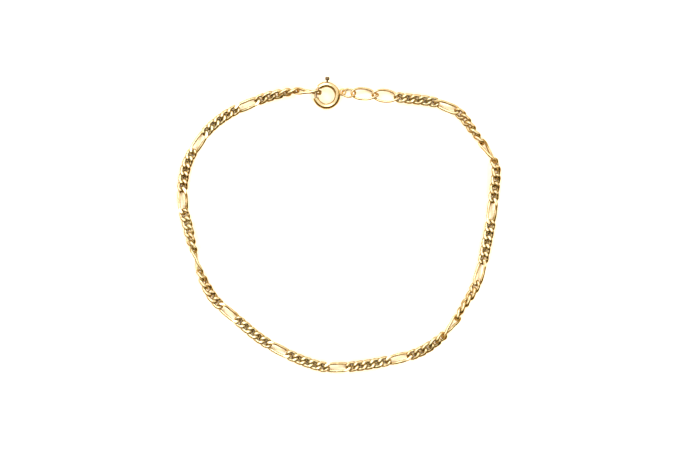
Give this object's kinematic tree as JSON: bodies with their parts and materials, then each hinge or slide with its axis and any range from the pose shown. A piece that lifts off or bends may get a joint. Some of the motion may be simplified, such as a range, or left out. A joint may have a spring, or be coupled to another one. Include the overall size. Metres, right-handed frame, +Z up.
{
  "type": "figaro link bracelet",
  "caption": "Fine yellow gold bracelet of figaro chain, with groups of small round curb links between long oval links, closed by a jump ring and a spring ring clasp with a sliding bolt.",
  "frame": {"origin": "on the surface that the bracelet lies on, under the middle of its box", "axes": "+X along the loop's longer side, +Y towards the clasp, +Z up"},
  "size_m": [0.065, 0.0596, 0.0024],
  "materials": {
    "chain_gold": "polished yellow gold",
    "end_link_gold": "polished pale yellow gold",
    "clasp_gold": "polished yellow gold",
    "bolt_gold": "satin gold, darker in the trigger's hollows"
  },
  "bodies": {
    "bracelet": {"long_link_01": "chain_gold", "curb_run_01": "chain_gold", "long_link_02": "chain_gold", "curb_run_02": "chain_gold", "long_link_03": "chain_gold", "curb_run_03": "chain_gold", "long_link_04": "chain_gold", "curb_run_04": "chain_gold", "long_link_05": "chain_gold", "curb_run_05": "chain_gold", "long_link_06": "chain_gold", "curb_run_06": "chain_gold", "long_link_07": "chain_gold", "curb_run_07": "chain_gold", "long_link_08": "chain_gold", "curb_run_08": "chain_gold", "long_link_09": "chain_gold", "curb_run_09": "chain_gold", "long_link_10": "chain_gold", "curb_run_10": "chain_gold", "long_link_11": "chain_gold", "curb_run_11": "chain_gold", "long_link_12": "chain_gold", "curb_run_12": "chain_gold", "long_link_13": "chain_gold", "curb_run_13": "chain_gold", "long_link_14": "chain_gold", "curb_run_14": "chain_gold", "end_link_01": "end_link_gold", "end_link_02": "end_link_gold", "jump_ring": "end_link_gold", "clasp_ring": "clasp_gold"},
    "bolt": {"clasp_bolt": "bolt_gold"}
  },
  "joints": [
    {"name": "clasp_trigger", "type": "hinge", "parent": "bracelet", "child": "bolt", "pos_m": [-0.00257, 0.02599, 0.00091], "axis": [0, 0.1564, -0.9877], "range_deg": [0, 50], "stiffness_Nm_per_rad": 0.004, "springref_deg": -17.19}
  ]
}
